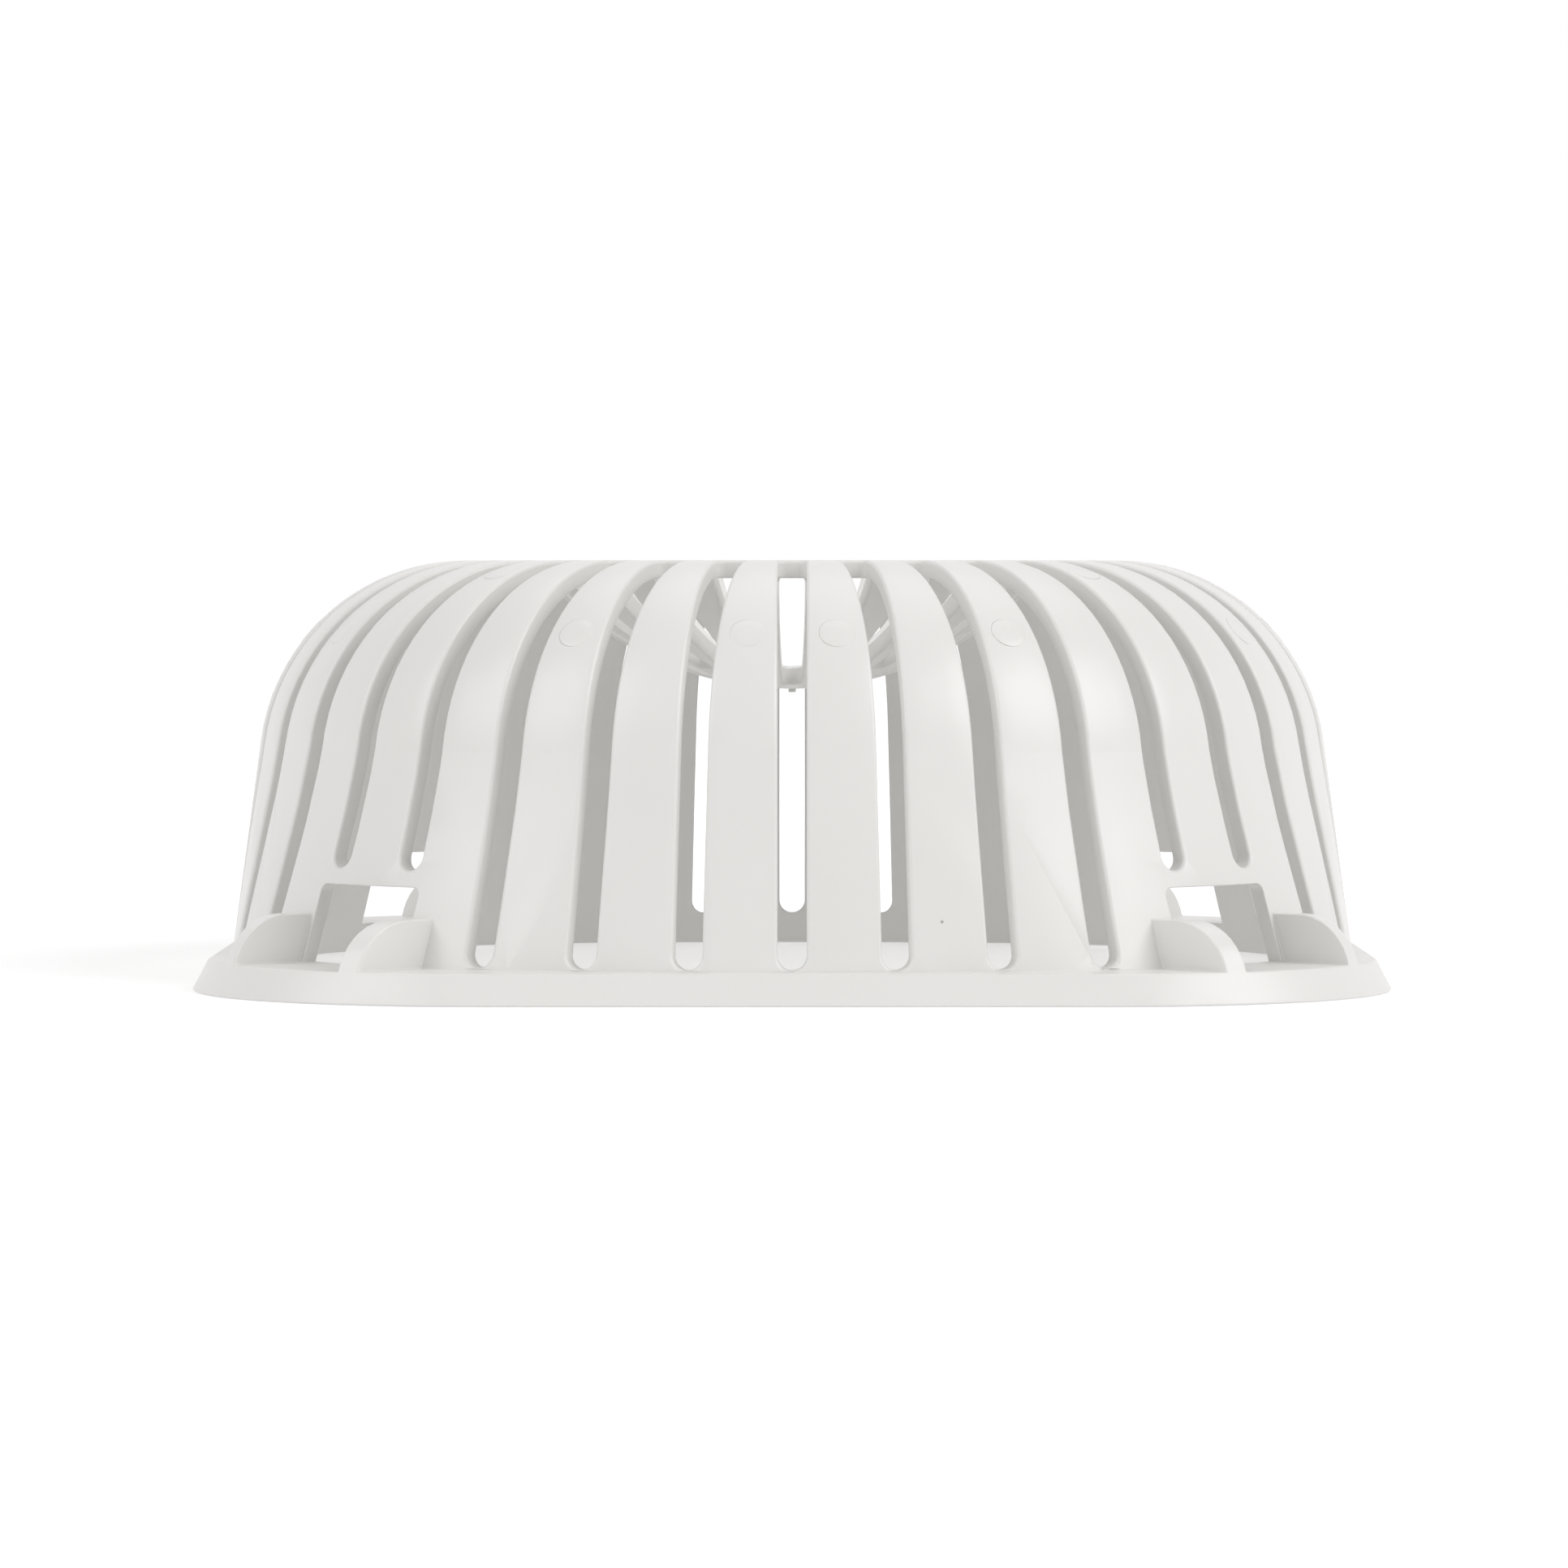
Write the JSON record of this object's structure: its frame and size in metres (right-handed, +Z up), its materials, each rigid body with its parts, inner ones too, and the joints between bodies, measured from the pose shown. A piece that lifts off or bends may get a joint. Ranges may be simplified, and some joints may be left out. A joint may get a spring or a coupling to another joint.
{
  "type": "floor sink dome strainer",
  "caption": "Moulded plastic bottom strainer for a floor sink: a slotted dome with a dished, slotted top on a square flange with round corners, with drain windows at the corners.",
  "frame": {"origin": "middle of the flange's underside", "axes": "+Z up along the dome's axis, X and Y square to the flange's flat sides"},
  "size_m": [0.14, 0.14, 0.05],
  "materials": {
    "white_plastic": "off-white moulded plastic with a satin gloss"
  },
  "bodies": {
    "root": {"dome_strainer": "white_plastic"}
  },
  "joints": []
}
